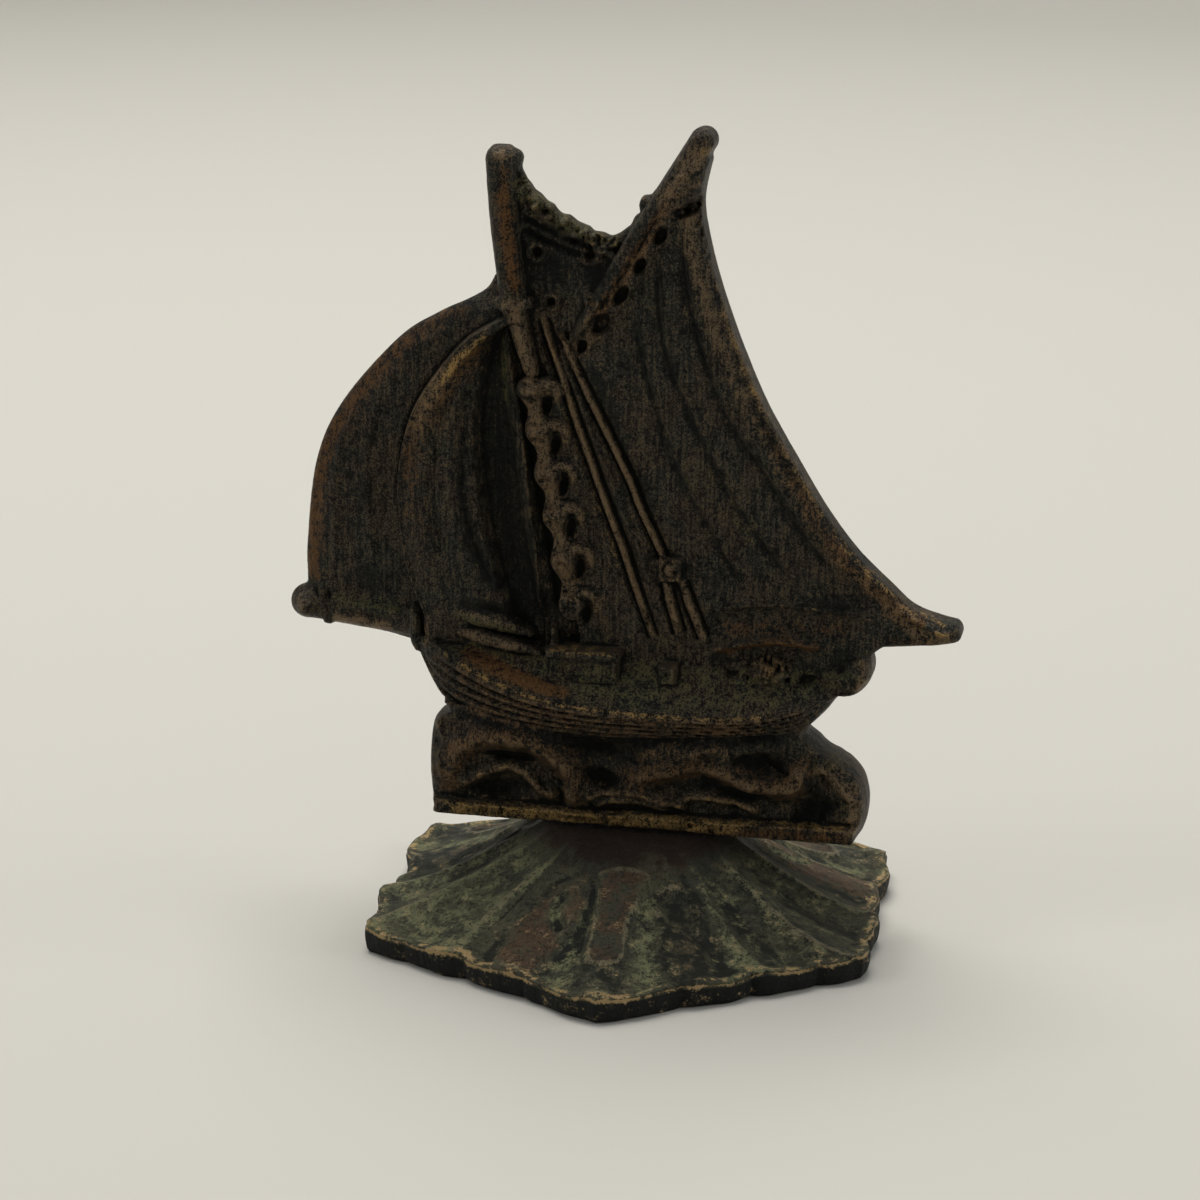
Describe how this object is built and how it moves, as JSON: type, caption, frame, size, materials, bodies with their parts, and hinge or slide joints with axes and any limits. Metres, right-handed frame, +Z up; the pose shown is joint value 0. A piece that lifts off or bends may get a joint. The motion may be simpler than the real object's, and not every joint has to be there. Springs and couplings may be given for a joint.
{
  "type": "brass sailboat figurine",
  "caption": "Cast brass gaff-rigged sailing boat riding on a block of waves, standing on a flared foot with a scalloped six-sided rim; a desk or shelf ornament.",
  "frame": {"origin": "on the table, under the middle of the ornament's bounding box", "axes": "+X towards the stern and the boom's end, -Y towards the finer, shown side, +Z up"},
  "size_m": [0.0765, 0.0632, 0.09],
  "materials": {
    "bronzed_brass": "dark brown patina, rubbed on the high points",
    "verdigris_brass": "green and brown patina, rubbed golden at the rim"
  },
  "bodies": {
    "root": {"sailboat": "bronzed_brass", "foot": "verdigris_brass"}
  },
  "joints": []
}
